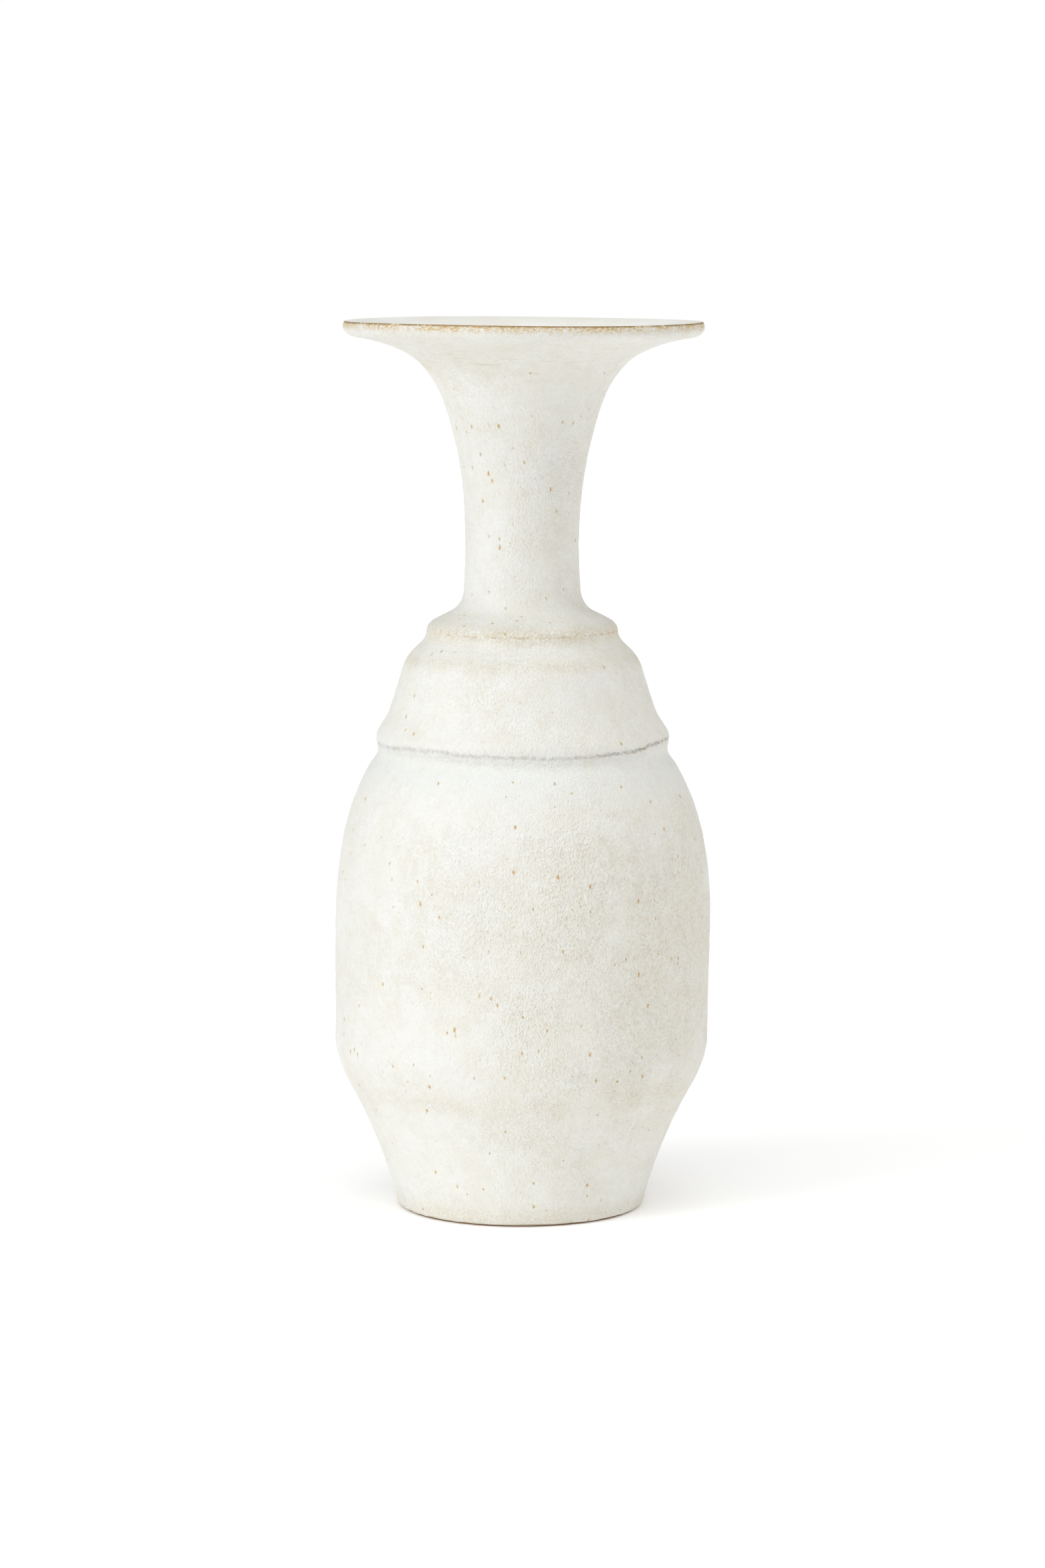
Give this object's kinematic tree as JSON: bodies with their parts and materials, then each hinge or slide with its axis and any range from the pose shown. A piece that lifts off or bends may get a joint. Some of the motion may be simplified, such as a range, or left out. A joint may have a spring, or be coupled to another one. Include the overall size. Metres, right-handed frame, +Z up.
{
  "type": "bud vase",
  "caption": "Tall thrown stoneware bud vase with a rounded belly, ridged shoulder, collar, slim neck and wide flat rim, in mottled white glaze.",
  "frame": {"origin": "centre of the foot, in the plane that the vase stands on", "axes": "+Z up the axis of the vase, towards the mouth; +Y away from the viewer of the front, +X to the right"},
  "size_m": [0.1017, 0.1016, 0.24],
  "materials": {
    "clay": "bare toasted stoneware",
    "slip": "fired luting slip",
    "outer_glaze": "satin matte, mottled, with iron specks",
    "liner_glaze": "satin"
  },
  "bodies": {
    "root": {"lower_section": "clay", "lower_joint_slip": "slip", "shoulder_section": "clay", "neck_joint_slip": "slip", "neck_section": "clay", "lower_glaze": "outer_glaze", "shoulder_glaze": "outer_glaze", "neck_glaze": "outer_glaze", "liner_glaze": "liner_glaze"}
  },
  "joints": []
}
